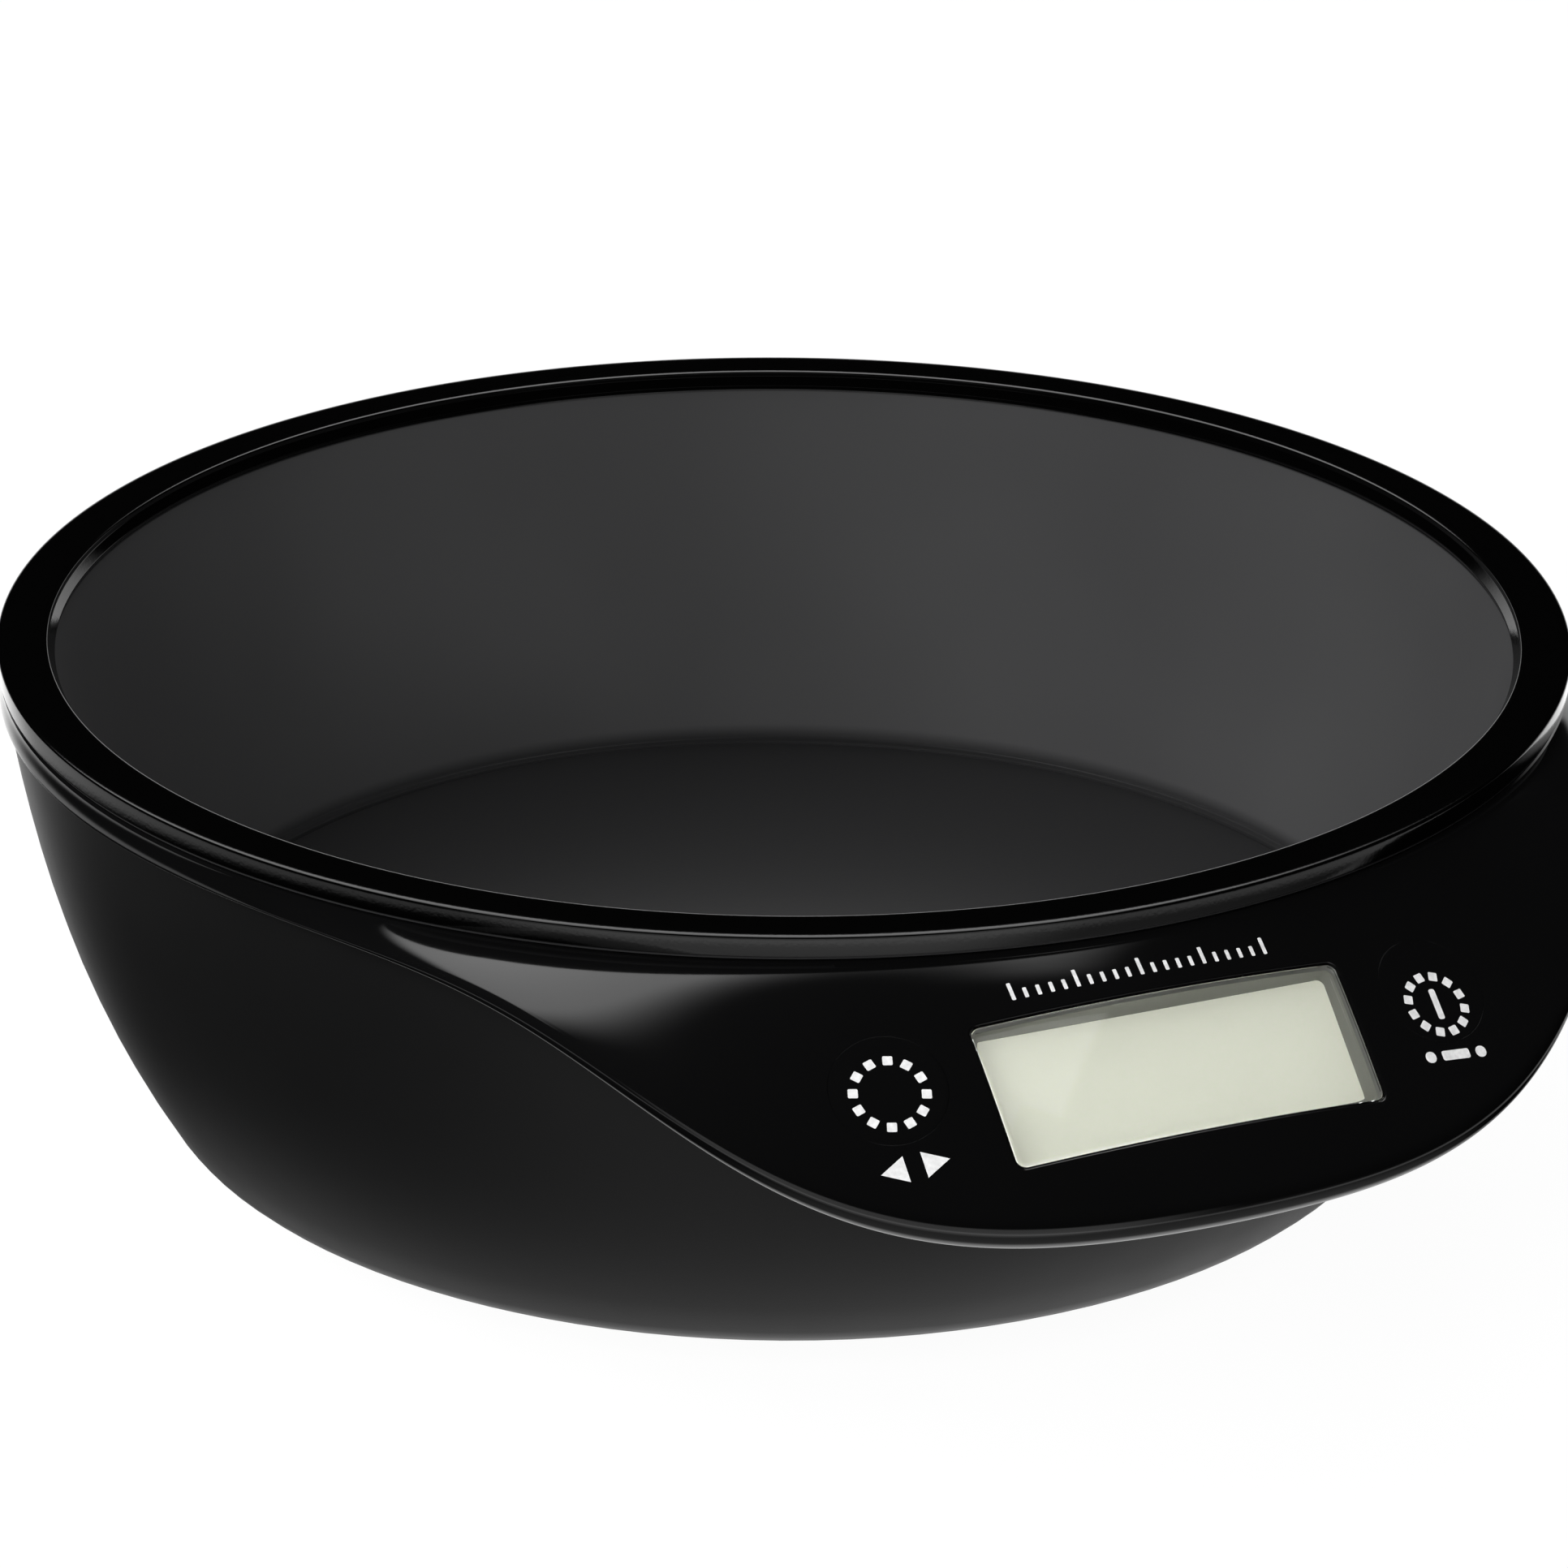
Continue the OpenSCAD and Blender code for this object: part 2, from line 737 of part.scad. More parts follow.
module base_plate() {
    color([0.16, 0.16, 0.17])
        difference() {
            union() {
                disc(base_r, foot_h + 0.8, plate_top);
                translate([0, 0, foot_h])
                    cylinder(r1 = base_r - 0.8, r2 = base_r, h = 0.8 + eps);
                translate([0, pocket_y, 0])
                    disc(pocket_r + pocket_wall, plate_top - eps, pocket_roof + 1.2);
            }
            translate([0, pocket_y, 0])
                disc(pocket_r, 0, pocket_roof);
            translate([-door_half - 0.2, pocket_y - door_half - 0.6, 0])
                cube([2 * door_half + 0.4, 2 * door_half + 0.8, foot_h + door_t + 0.1]);
            translate([-hinge_half - 0.3, hinge_y - hinge_r - 0.4, 0])
                cube([2 * hinge_half + 0.6, 2.4, hinge_z + hinge_r + 0.3]);
            translate([-hinge_half - pin_len - 0.4, hinge_y, hinge_z])
                rotate([0, 90, 0])
                    cylinder(r = pin_r + 0.05, h = 2 * (hinge_half + pin_len + 0.4));
            for (x = base_screw_x)
                translate([x, 0, 0]) {
                    disc(cell_hole_r, 0, cell_top);
                    disc(seat_r, 0, foot_h + seat_h);
                }
            // Way out of the pocket for the battery's wires
            translate([-3, pocket_y + pocket_r - 1, pocket_roof - 2.2])
                cube([6, 4, 1.6]);
        }
}

module battery_door() {
    color([0.13, 0.13, 0.14])
        difference() {
            union() {
                translate([-door_half, pocket_y - door_half, foot_h])
                    cube([2 * door_half, 2 * door_half, door_t]);
                translate([-hinge_half, hinge_y, hinge_z])
                    rotate([0, 90, 0])
                        cylinder(r = hinge_r, h = 2 * hinge_half);
                translate([-hinge_half - pin_len, hinge_y, hinge_z])
                    rotate([0, 90, 0])
                        cylinder(r = pin_r, h = 2 * (hinge_half + pin_len));
                translate([-hinge_half, hinge_y, foot_h + 0.05])
                    cube([2 * hinge_half, 1.2, 0.9]);
            }
            // Finger recess at the free end
            translate([-4, pocket_y + door_half - 2.6, foot_h - 1])
                cube([8, 1.6, 1.6]);
        }
}

coin_r = 10;
coin_low = foot_h + door_t + 0.3;
coin_h = 3.2;
module coin_cell() {
    color("silver")
        translate([0, pocket_y, 0]) {
            disc(coin_r - 0.8, coin_low, coin_low + 0.5);
            disc(coin_r, coin_low + 0.5 - eps, coin_low + coin_h);
        }
}

module battery_contact_positive() {
    color("gold")
        translate([0, pocket_y, 0])
            for (a = [30, 150])
                rotate([0, 0, a])
                    translate([coin_r + 0.15, -3, coin_low + 0.4])
                        cube([0.4, 6, 2.6]);
}

module battery_contact_negative() {
    color("gold")
        translate([-4, pocket_y - 1.5, coin_low + coin_h + 0.1])
            cube([8, 10, 0.35]);
}

wire_r = 0.55;
wire_y = -9.2;
wire_z = pocket_roof - 1.4;
module battery_wires() {
    color("firebrick")
        for (x = [-1.4, 1.4])
            translate([x, 0, 0]) {
                translate([0, pocket_y + 10.4, wire_z])
                    rotate([-90, 0, 0])
                        cylinder(r = wire_r, h = wire_y - pocket_y - 10.4);
                translate([0, wire_y, wire_z])
                    cylinder(r = wire_r, h = deck_bottom - 1.1 - wire_z);
                translate([0, wire_y, wire_z])
                    sphere(wire_r, $fn = 24);
            }
}

module feet() {
    color([0.2, 0.2, 0.2])
        for (a = boss_angles)
            rotate([0, 0, a])
                translate([feet_circle_r, 0, 0])
                    union() {
                        cylinder(r1 = 5.2, r2 = 6, h = 0.6);
                        disc(6, 0.6 - eps, foot_h);
                    }
}

bowl();
collar();
body_shell();
console_base();
console_screws();
display_window();
lcd_holder();
lcd_glass();
zebra_strips();
control_board();
board_components();
key_switches();
board_screws();
unit_key();
tare_key();
ribbon_cable();
bowl_pads();
bottom_cover();
bottom_cover_screws();
upper_spacer();
load_cell();
load_cell_screws_top();
gauge_coating();
lower_spacer();
load_cell_screws_base();
base_plate();
feet();
battery_door();
coin_cell();
battery_contact_positive();
battery_contact_negative();
battery_wires();
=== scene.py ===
"""Digital bowl scale: the looks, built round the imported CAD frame.

Lengths are in millimetres in the shapes below and become metres when a mesh is made.
"""

import json
import math

import bpy
import numpy as np
from mathutils import Matrix, Vector


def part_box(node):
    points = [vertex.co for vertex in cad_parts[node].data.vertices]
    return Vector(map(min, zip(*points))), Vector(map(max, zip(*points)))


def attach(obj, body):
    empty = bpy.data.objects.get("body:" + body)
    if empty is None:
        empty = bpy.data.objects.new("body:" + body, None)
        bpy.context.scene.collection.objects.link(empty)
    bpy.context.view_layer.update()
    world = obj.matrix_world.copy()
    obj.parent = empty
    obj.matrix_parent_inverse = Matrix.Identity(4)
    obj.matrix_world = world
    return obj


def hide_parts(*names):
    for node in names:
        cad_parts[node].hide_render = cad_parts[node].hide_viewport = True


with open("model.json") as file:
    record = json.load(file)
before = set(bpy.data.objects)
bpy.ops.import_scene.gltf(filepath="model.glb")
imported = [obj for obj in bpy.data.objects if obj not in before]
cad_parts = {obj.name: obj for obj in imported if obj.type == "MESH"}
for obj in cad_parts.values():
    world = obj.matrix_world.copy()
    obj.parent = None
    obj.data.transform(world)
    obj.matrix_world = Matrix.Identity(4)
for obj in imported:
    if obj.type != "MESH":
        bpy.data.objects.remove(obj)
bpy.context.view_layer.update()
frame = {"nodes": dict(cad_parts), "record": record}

MM = 0.001
ROUND_STEPS = 256

# ---------------------------------------------------------------- sizes, from the frame
RIM_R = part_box("bowl")[1].x / MM
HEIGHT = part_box("bowl")[1].z / MM
BOWL_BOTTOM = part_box("bowl")[0].z / MM

# ---------------------------------------------------------------- shape of the bowl
RIM_W = 6.7
LIP_H = 3.15
BOWL_DEPTH = 53.0
FLOOR_R = 85.2
BOWL_T = 2.0
CROWN_SQUARE = 0.3

# ---------------------------------------------------------------- shape of the collar and console
COLLAR_R = RIM_R - 0.2
COLLAR_TOP = HEIGHT - LIP_H - 0.2
COLLAR_T = 1.8
REACH = 26.7
REACH_HALF, REACH_POWER = 37.0, 3.4
BAND_DROP = 6.9
CONSOLE_DROP = 23.6
DROP_HALF, DROP_POWER = 28.6, 3.8
EDGE_R_BAND, EDGE_R_CONSOLE = 0.4, 2.7
EDGE_LOW_ANGLE = -67.0
UNDER_SLOPE = 16.4
UNDER_FACING = UNDER_SLOPE - 90
LIP_LEN = 1.5
CROWN_ANGLE, CROWN_START, CROWN_END = 18.0, 0.22, 0.3
CROWN_FULL_REACH = 8.0
SKIN_END_TURN = 3.0
OPEN_FROM_REACH, OPEN_OVER = 2.0, 5.5
INNER_CORNER_FACING = -12.0

# ---------------------------------------------------------------- display panel
PANEL_TILT = 48.2
PANEL_R = 118.65
PANEL_DROP = 14.3
WINDOW_W, WINDOW_H, WINDOW_R = 49.8, 19.2, 1.3
WINDOW_GAP = 0.2
KEY_X, KEY_Y, KEY_R, KEY_GAP = 36.75, 4.1, 7.2, 0.04
KEY_BOTTOM = -7.1
KEY_FLANGE_T = 0.6
WINDOW_EDGE, KEY_EDGE = 0.3, 0.02
CUT_RANGE = (-12, 6)


def facing(tilt):
    t = np.radians(tilt)
    return np.stack([np.cos(t), np.sin(t)], -1)


def along(tilt):
    t = np.radians(tilt)
    return np.stack([np.sin(t), -np.cos(t)], -1)


def bell(a, half, power):
    return np.exp(-math.log(2) * np.power(np.abs(a) / half, power))


def reach(a):
    return REACH * bell(a, REACH_HALF, REACH_POWER)


def edge_r(a):
    return EDGE_R_BAND + (EDGE_R_CONSOLE - EDGE_R_BAND) * bell(a, REACH_HALF, REACH_POWER)


def edge_low(a):
    drop = BAND_DROP + CONSOLE_DROP * bell(a, DROP_HALF, DROP_POWER)
    return np.stack([COLLAR_R + reach(a), HEIGHT - drop], -1)


def edge_centre(a):
    return edge_low(a) - edge_r(a)[..., None] * facing(EDGE_LOW_ANGLE)


SKIN_TOP = np.array([COLLAR_R, COLLAR_TOP - 0.4])


def bezier(a, b, c, d, t):
    t = np.asarray(t)[..., None]
    return (1 - t) ** 3 * a + 3 * (1 - t) ** 2 * t * b + 3 * (1 - t) * t * t * c + t**3 * d


def skin_point(a, t):
    """The collar's outside at angle a from the display, t from the lip, 0, to the rounded edge, 1."""
    a = np.asarray(a, float)
    chord = edge_centre(a) - SKIN_TOP
    tilt = np.degrees(np.arctan2(chord[..., 0], -chord[..., 1]))
    end_tilt = tilt - SKIN_END_TURN
    end = edge_centre(a) + edge_r(a)[..., None] * facing(end_tilt)
    span = np.linalg.norm(end - SKIN_TOP, axis=-1)[..., None]
    crown = CROWN_ANGLE * np.minimum(1, reach(a) / CROWN_FULL_REACH)
    start_pull = SKIN_TOP + CROWN_START * span * along(tilt + crown)
    end_pull = end - CROWN_END * span * along(end_tilt)
    return bezier(SKIN_TOP, start_pull, end_pull, end, t)


def turn(p, a):
    """A point [radius, height] turned to the angle a from the display."""
    a = np.radians(a)
    x, y = p[..., 0] * np.sin(a), -p[..., 0] * np.cos(a)
    return np.stack([x, y, np.broadcast_to(p[..., 1], x.shape)], -1)


def skin_xyz(a, t):
    return turn(skin_point(a, t), a)


def panel_axes(tilt):
    """The display panel's own axes as rows: x to the right, y up the panel, z out of it."""
    c, s = math.cos(math.radians(tilt)), math.sin(math.radians(tilt))
    return np.array([[1, 0, 0], [0, s, c], [0, -c, s]])


PANEL_O = np.array([0, -PANEL_R, HEIGHT - PANEL_DROP])
PANEL_AXES = panel_axes(PANEL_TILT)


def to_panel(points):
    return (np.asarray(points) - PANEL_O) @ PANEL_AXES.T


def from_panel(points):
    return np.asarray(points) @ PANEL_AXES + PANEL_O


def skin_height(x, y):
    """Height of the collar's outside over the panel plane at x, y, found by Newton's method."""
    panel_len, step_a, step_t, rounds = 36, 0.01, 0.0001, 12
    x, y = np.asarray(x, float), np.asarray(y, float)
    a = np.degrees(np.arctan2(x, PANEL_R + 0 * x))
    t = np.clip(0.5 - y / panel_len, 0.02, 0.98)
    for _ in range(rounds):
        p = to_panel(skin_xyz(a, t))
        da = (to_panel(skin_xyz(a + step_a, t)) - p) / step_a
        dt = (to_panel(skin_xyz(a, t + step_t)) - p) / step_t
        ex, ey = x - p[..., 0], y - p[..., 1]
        det = da[..., 0] * dt[..., 1] - da[..., 1] * dt[..., 0]
        a = a + (ex * dt[..., 1] - ey * dt[..., 0]) / det
        t = np.clip(t + (da[..., 0] * ey - da[..., 1] * ex) / det, -0.1, 1.1)
    return to_panel(skin_xyz(a, t))[..., 2]


# ---------------------------------------------------------------- meshes
def piece(name, points, faces, body, material, replaces=(), sharp=38):
    """A mesh from points in millimetres, smooth but for edges sharper than the given angle."""
    mesh = bpy.data.meshes.new(name)
    mesh.from_pydata((np.asarray(points) * MM).tolist(), [], [list(f) for f in faces])
    mesh.validate()
    mesh.shade_smooth()
    mesh.set_sharp_from_angle(angle=math.radians(sharp))
    mesh.materials.append(material)
    obj = bpy.data.objects.new(name, mesh)
    bpy.context.scene.collection.objects.link(obj)
    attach(obj, body)
    if replaces:
        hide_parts(*replaces)
    return obj


def smooth_again(obj, sharp=32):
    """Smooth shading for a CAD node but for its real edges, by modifiers only."""
    normals = obj.data.attributes.get("custom_normal")
    if normals:
        obj.data.attributes.remove(normals)
    obj.data.shade_smooth()
    weld = obj.modifiers.new("weld", "WELD")
    weld.merge_threshold = 0.000002
    split = obj.modifiers.new("split", "EDGE_SPLIT")
    split.split_angle = math.radians(sharp)
    split.use_edge_sharp = False


def grid_faces(rows, cols, wrap_rows=False, wrap_cols=False, start=0):
    """Quads over a grid of points stored row by row."""
    faces = []
    for i in range(rows if wrap_rows else rows - 1):
        for j in range(cols if wrap_cols else cols - 1):
            row = start + i * cols
            next_row = start + (i + 1) % rows * cols
            j2 = (j + 1) % cols
            faces.append((row + j, next_row + j, next_row + j2, row + j2))
    return faces


def fillet(corners, steps=7):
    """A polyline through corners (x, y, radius), each corner rounded to its radius."""
    out = [corners[0][:2]]
    for before, (x, y, r), after in zip(corners, corners[1:], corners[2:]):
        p = np.array([x, y])
        u = np.array(before[:2]) - p
        v = np.array(after[:2]) - p
        lu, lv = np.linalg.norm(u), np.linalg.norm(v)
        u, v = u / lu, v / lv
        half = math.acos(max(-1, min(1, float(u @ v)))) / 2
        if r <= 0 or half > math.radians(89.5):
            out.append((x, y))
            continue
        cut = min(r / math.tan(half), 0.49 * lu, 0.49 * lv)
        radius = cut * math.tan(half)
        centre = p + (u + v) / np.linalg.norm(u + v) * radius / math.sin(half)
        a, b = p + u * cut - centre, p + v * cut - centre
        total = math.acos(max(-1, min(1, float(a @ b) / radius**2)))
        for k in range(steps + 1):
            s = k / steps
            arc = (math.sin((1 - s) * total) * a + math.sin(s * total) * b) / math.sin(total)
            out.append(tuple(centre + arc))
    out.append(corners[-1][:2])
    return out


def lathe(name, profile, body, material, replaces=(), sharp=38):
    """A profile of (radius, height) turned about the bowl's axis. Its ends may lie on the axis."""
    profile = np.array(profile, float)
    open_ends = profile[0, 0] < 1e-6 and profile[-1, 0] < 1e-6
    ring = profile[1:-1] if open_ends else profile
    turns = np.arange(ROUND_STEPS) * 360 / ROUND_STEPS
    points = turn(ring[None, :, :], turns[:, None]).reshape(-1, 3)
    faces = grid_faces(ROUND_STEPS, len(ring), wrap_rows=True, wrap_cols=not open_ends)
    if open_ends:
        count = len(ring)
        points = np.vstack([points, [0, 0, profile[0, 1]], [0, 0, profile[-1, 1]]])
        first, last = len(points) - 2, len(points) - 1
        for i in range(ROUND_STEPS):
            j = (i + 1) % ROUND_STEPS
            faces.append((first, j * count, i * count))
            faces.append((last, i * count + count - 1, j * count + count - 1))
    return piece(name, points, faces, body, material, replaces, sharp)


def rounded_outline(w, h, r, corner_steps=8, side_steps=24):
    """Points round a rectangle with rounded corners, anticlockwise, and the outward direction at each."""
    points, outward = [], []
    x, y = w / 2 - r, h / 2 - r
    centres = [(x, y), (-x, y), (-x, -y), (x, -y)]
    for k, (cx, cy) in enumerate(centres):
        for s in range(corner_steps + 1):
            a = math.radians(90 * k + 90 * s / corner_steps)
            points.append((cx + r * math.cos(a), cy + r * math.sin(a)))
            outward.append((math.cos(a), math.sin(a)))
        nx, ny = centres[(k + 1) % 4]
        a = math.radians(90 * (k + 1))
        for s in range(1, side_steps):
            f = s / side_steps
            points.append((cx + (nx - cx) * f + r * math.cos(a), cy + (ny - cy) * f + r * math.sin(a)))
            outward.append((math.cos(a), math.sin(a)))
    return np.array(points), np.array(outward)


def round_outline(cx, cy, r, steps=96):
    a = np.arange(steps) * 2 * math.pi / steps
    out = np.stack([np.cos(a), np.sin(a)], -1)
    return np.array([cx, cy]) + r * out, out


def apply_cut(obj, cutter_outline, low, high):
    """Cuts the prism over an outline in the panel plane out of obj."""
    n = len(cutter_outline)
    points = [(*p, z) for z in (low, high) for p in cutter_outline]
    faces = [tuple(range(n))[::-1], tuple(range(n, 2 * n))]
    faces += [(i, (i + 1) % n, n + (i + 1) % n, n + i) for i in range(n)]
    mesh = bpy.data.meshes.new("cutter")
    mesh.from_pydata((from_panel(points) * MM).tolist(), [], faces)
    cutter = bpy.data.objects.new("cutter", mesh)
    bpy.context.scene.collection.objects.link(cutter)
    cut = obj.modifiers.new("cut", "BOOLEAN")
    cut.operation = "DIFFERENCE"
    cut.solver = "EXACT"
    cut.object = cutter
    bpy.context.view_layer.update()
    shaped = bpy.data.meshes.new_from_object(obj.evaluated_get(bpy.context.evaluated_depsgraph_get()))
    obj.modifiers.clear()
    old = obj.data
    obj.data = shaped
    bpy.data.meshes.remove(old)
    bpy.data.objects.remove(cutter)
    bpy.data.meshes.remove(mesh)


# ---------------------------------------------------------------- materials
def new_material(name, color, rough, metallic=0.0, **sockets):
    mat = bpy.data.materials.new(name)
    mat.use_nodes = True
    shader = mat.node_tree.nodes["Principled BSDF"]
    shader.inputs["Base Color"].default_value = (*color, 1)
    shader.inputs["Roughness"].default_value = rough
    shader.inputs["Metallic"].default_value = metallic
    for key, value in sockets.items():
        shader.inputs[key.replace("_", " ")].default_value = value
    return mat, mat.node_tree.nodes, mat.node_tree.links, shader


def noise(nodes, links, scale, detail=3.0, stretch=(1, 1, 1)):
    """Noise over the object's own coordinates, in features per metre."""
    place = nodes.new("ShaderNodeTexCoord")
    mapping = nodes.new("ShaderNodeMapping")
    mapping.inputs["Scale"].default_value = stretch
    tex = nodes.new("ShaderNodeTexNoise")
    tex.inputs["Scale"].default_value = scale
    tex.inputs["Detail"].default_value = detail
    links.new(place.outputs["Object"], mapping.inputs["Vector"])
    links.new(mapping.outputs["Vector"], tex.inputs["Vector"])
    return tex.outputs["Fac"]


def spread(nodes, links, fac, low, high):
    """Maps a 0 to 1 value to a range."""
    remap = nodes.new("ShaderNodeMapRange")
    remap.inputs["To Min"].default_value = low
    remap.inputs["To Max"].default_value = high
    links.new(fac, remap.inputs["Value"])
    return remap.outputs["Result"]


def tint(nodes, links, fac, dark, light):
    ramp = nodes.new("ShaderNodeValToRGB")
    ramp.color_ramp.elements[0].position = 0.3
    ramp.color_ramp.elements[0].color = (*dark, 1)
    ramp.color_ramp.elements[1].position = 0.7
    ramp.color_ramp.elements[1].color = (*light, 1)
    links.new(fac, ramp.inputs["Fac"])
    return ramp.outputs["Color"]


def bump(nodes, links, shader, height, strength, distance):
    node = nodes.new("ShaderNodeBump")
    node.inputs["Strength"].default_value = strength
    node.inputs["Distance"].default_value = distance
    links.new(height, node.inputs["Height"])
    links.new(node.outputs["Normal"], shader.inputs["Normal"])


def moulded(name, color, rough, grain, grain_depth, variation=0.12, rough_spread=0.04, **sockets):
    """Moulded plastic: fine grain in the surface, slow drifts in tone and in polish."""
    mat, nodes, links, shader = new_material(name, color, rough, **sockets)
    slow = noise(nodes, links, 18, 2)
    dark = tuple(c * (1 - variation) for c in color)
    light = tuple(c * (1 + variation) for c in color)
    links.new(tint(nodes, links, slow, dark, light), shader.inputs["Base Color"])
    polish = spread(nodes, links, noise(nodes, links, 90, 5), rough - rough_spread, rough + rough_spread)
    links.new(polish, shader.inputs["Roughness"])
    bump(nodes, links, shader, noise(nodes, links, grain, 3), 0.5, grain_depth)
    return mat


def metal(name, color, rough, stretch, scale=900):
    """Metal with the fine lines of its making."""
    mat, nodes, links, shader = new_material(name, color, rough, metallic=1.0)
    lines = noise(nodes, links, scale, 4, stretch)
    links.new(spread(nodes, links, lines, rough * 0.7, rough * 1.4), shader.inputs["Roughness"])
    links.new(tint(nodes, links, lines, tuple(c * 0.85 for c in color), color), shader.inputs["Base Color"])
    bump(nodes, links, shader, lines, 0.3, 0.00004)
    return mat


def clear_window():
    mat, nodes, links, shader = new_material("clear_window", (0.97, 0.98, 0.96), 0.03, IOR=1.49)
    shader.inputs["Transmission Weight"].default_value = 1.0
    wear = noise(nodes, links, 60, 4)
    links.new(spread(nodes, links, wear, 0.02, 0.05), shader.inputs["Roughness"])
    return mat


def display_glass():
    """A reflective display's polariser: pale grey-green, with a faint even grain, and a faint painted glow
    though the display has no light of its own.
    """
    mat, nodes, links, shader = new_material("display_glass", (0.83, 0.85, 0.73), 0.5)
    grain = noise(nodes, links, 2600, 2)
    links.new(tint(nodes, links, grain, (0.81, 0.83, 0.71), (0.85, 0.87, 0.75)), shader.inputs["Base Color"])
    # Painted glow: a weak emission brightens the display, which has no light of its own.
    shader.inputs["Emission Color"].default_value = (0.97, 0.96, 0.84, 1)
    shader.inputs["Emission Strength"].default_value = 0.3
    bump(nodes, links, shader, grain, 0.2, 0.00001)
    return mat


def striped_rubber():
    mat, nodes, links, shader = new_material("contact_rubber", (0.35, 0.35, 0.38), 0.6)
    place = nodes.new("ShaderNodeTexCoord")
    wave = nodes.new("ShaderNodeTexWave")
    wave.inputs["Scale"].default_value = 900
    wave.inputs["Distortion"].default_value = 0
    links.new(place.outputs["Object"], wave.inputs["Vector"])
    stripes = tint(nodes, links, wave.outputs["Fac"], (0.02, 0.02, 0.02), (0.5, 0.5, 0.52))
    links.new(stripes, shader.inputs["Base Color"])
    return mat


def board_laminate():
    """Green solder mask over copper tracks."""
    mat, nodes, links, shader = new_material("board_laminate", (0.02, 0.16, 0.06), 0.3)
    place = nodes.new("ShaderNodeTexCoord")
    brick = nodes.new("ShaderNodeTexBrick")
    brick.inputs["Scale"].default_value = 260
    brick.inputs["Color1"].default_value = (0.015, 0.13, 0.05, 1)
    brick.inputs["Color2"].default_value = (0.02, 0.16, 0.06, 1)
    brick.inputs["Mortar"].default_value = (0.05, 0.3, 0.1, 1)
    brick.inputs["Mortar Size"].default_value = 0.06
    links.new(place.outputs["Object"], brick.inputs["Vector"])
    links.new(brick.outputs["Color"], shader.inputs["Base Color"])
    bump(nodes, links, shader, brick.outputs["Fac"], 0.3, 0.00003)
    return mat


def printed_white():
    """Screen-printed ink, a little uneven."""
    mat, nodes, links, shader = new_material("printed_white", (0.8, 0.8, 0.8), 0.45)
    uneven = noise(nodes, links, 1500, 4)
    links.new(tint(nodes, links, uneven, (0.66, 0.66, 0.66), (0.86, 0.86, 0.86)), shader.inputs["Base Color"])
    return mat


def blend(nodes, links, data_type, fac, first, second):
    """Mixes two colours or two values by fac, each a socket or a constant."""
    node = nodes.new("ShaderNodeMix")
    node.data_type = data_type
    a, b, out = (6, 7, 2) if data_type == "RGBA" else (2, 3, 0)
    links.new(fac, node.inputs[0])
    for socket, item in ((node.inputs[a], first), (node.inputs[b], second)):
        if isinstance(item, bpy.types.NodeSocket):
            links.new(item, socket)
        else:
            socket.default_value = item
    return node.outputs[out]


def bowl_plastic():
    """Grained dark grey on the wall; on the floor finer, and darker as painted shade; on the rim polished,
    and nearly black as a painted dark reflection.
    """
    mat, nodes, links, shader = new_material("bowl_plastic", (0.05, 0.05, 0.051), 0.4)
    place = nodes.new("ShaderNodeTexCoord")
    parts = nodes.new("ShaderNodeSeparateXYZ")
    links.new(place.outputs["Object"], parts.inputs["Vector"])
    slow = noise(nodes, links, 18, 2)
    tone = tint(nodes, links, slow, (0.046, 0.046, 0.047), (0.055, 0.055, 0.056))
    rough = 0.4
    floor_z = HEIGHT - BOWL_DEPTH
    # Colour zones: the floor's darker colour is painted shade and the rim's nearly black colour is a painted
    # dark reflection; the lower roughness in each zone is real polish.
    painted_shade_and_polish_zones = [
        (floor_z + 2.2, floor_z + 0.3, (0.016, 0.016, 0.0165, 1), 0.3),
        (HEIGHT - 2.9, HEIGHT - 2.6, (0.0006, 0.0006, 0.0006, 1), 0.07),
    ]
    for start, stop, color, zone_rough in painted_shade_and_polish_zones:
        inside = nodes.new("ShaderNodeMapRange")
        inside.inputs["From Min"].default_value = start * MM
        inside.inputs["From Max"].default_value = stop * MM
        links.new(parts.outputs["Z"], inside.inputs["Value"])
        tone = blend(nodes, links, "RGBA", inside.outputs["Result"], tone, color)
        rough = blend(nodes, links, "FLOAT", inside.outputs["Result"], rough, zone_rough)
    links.new(tone, shader.inputs["Base Color"])
    links.new(rough, shader.inputs["Roughness"])
    shader.inputs["Specular IOR Level"].default_value = 0.4
    bump(nodes, links, shader, noise(nodes, links, 2400, 3), 0.4, 0.000015)
    return mat


MOULDED = {
    "collar_gloss": dict(
        color=(0.003, 0.003, 0.0031), rough=0.09, grain=700, grain_depth=0.000001, rough_spread=0.015
    ),
    "housing_satin": dict(
        color=(0.006, 0.006, 0.0061), rough=0.4, grain=2600, grain_depth=0.000012, Specular_IOR_Level=0.3
    ),
    "pale_plastic": dict(color=(0.22, 0.22, 0.21), rough=0.5, grain=2000, grain_depth=0.00001),
    "component_black": dict(color=(0.03, 0.03, 0.03), rough=0.55, grain=3000, grain_depth=0.00002),
    "cable_grey": dict(color=(0.4, 0.4, 0.42), rough=0.5, grain=1500, grain_depth=0.00002),
    "wire_red": dict(color=(0.4, 0.02, 0.02), rough=0.45, grain=1500, grain_depth=0.00002),
    "pad_rubber": dict(color=(0.035, 0.035, 0.036), rough=0.75, grain=1800, grain_depth=0.00006),
    "coating_white": dict(color=(0.75, 0.75, 0.73), rough=0.6, grain=900, grain_depth=0.0001),
}
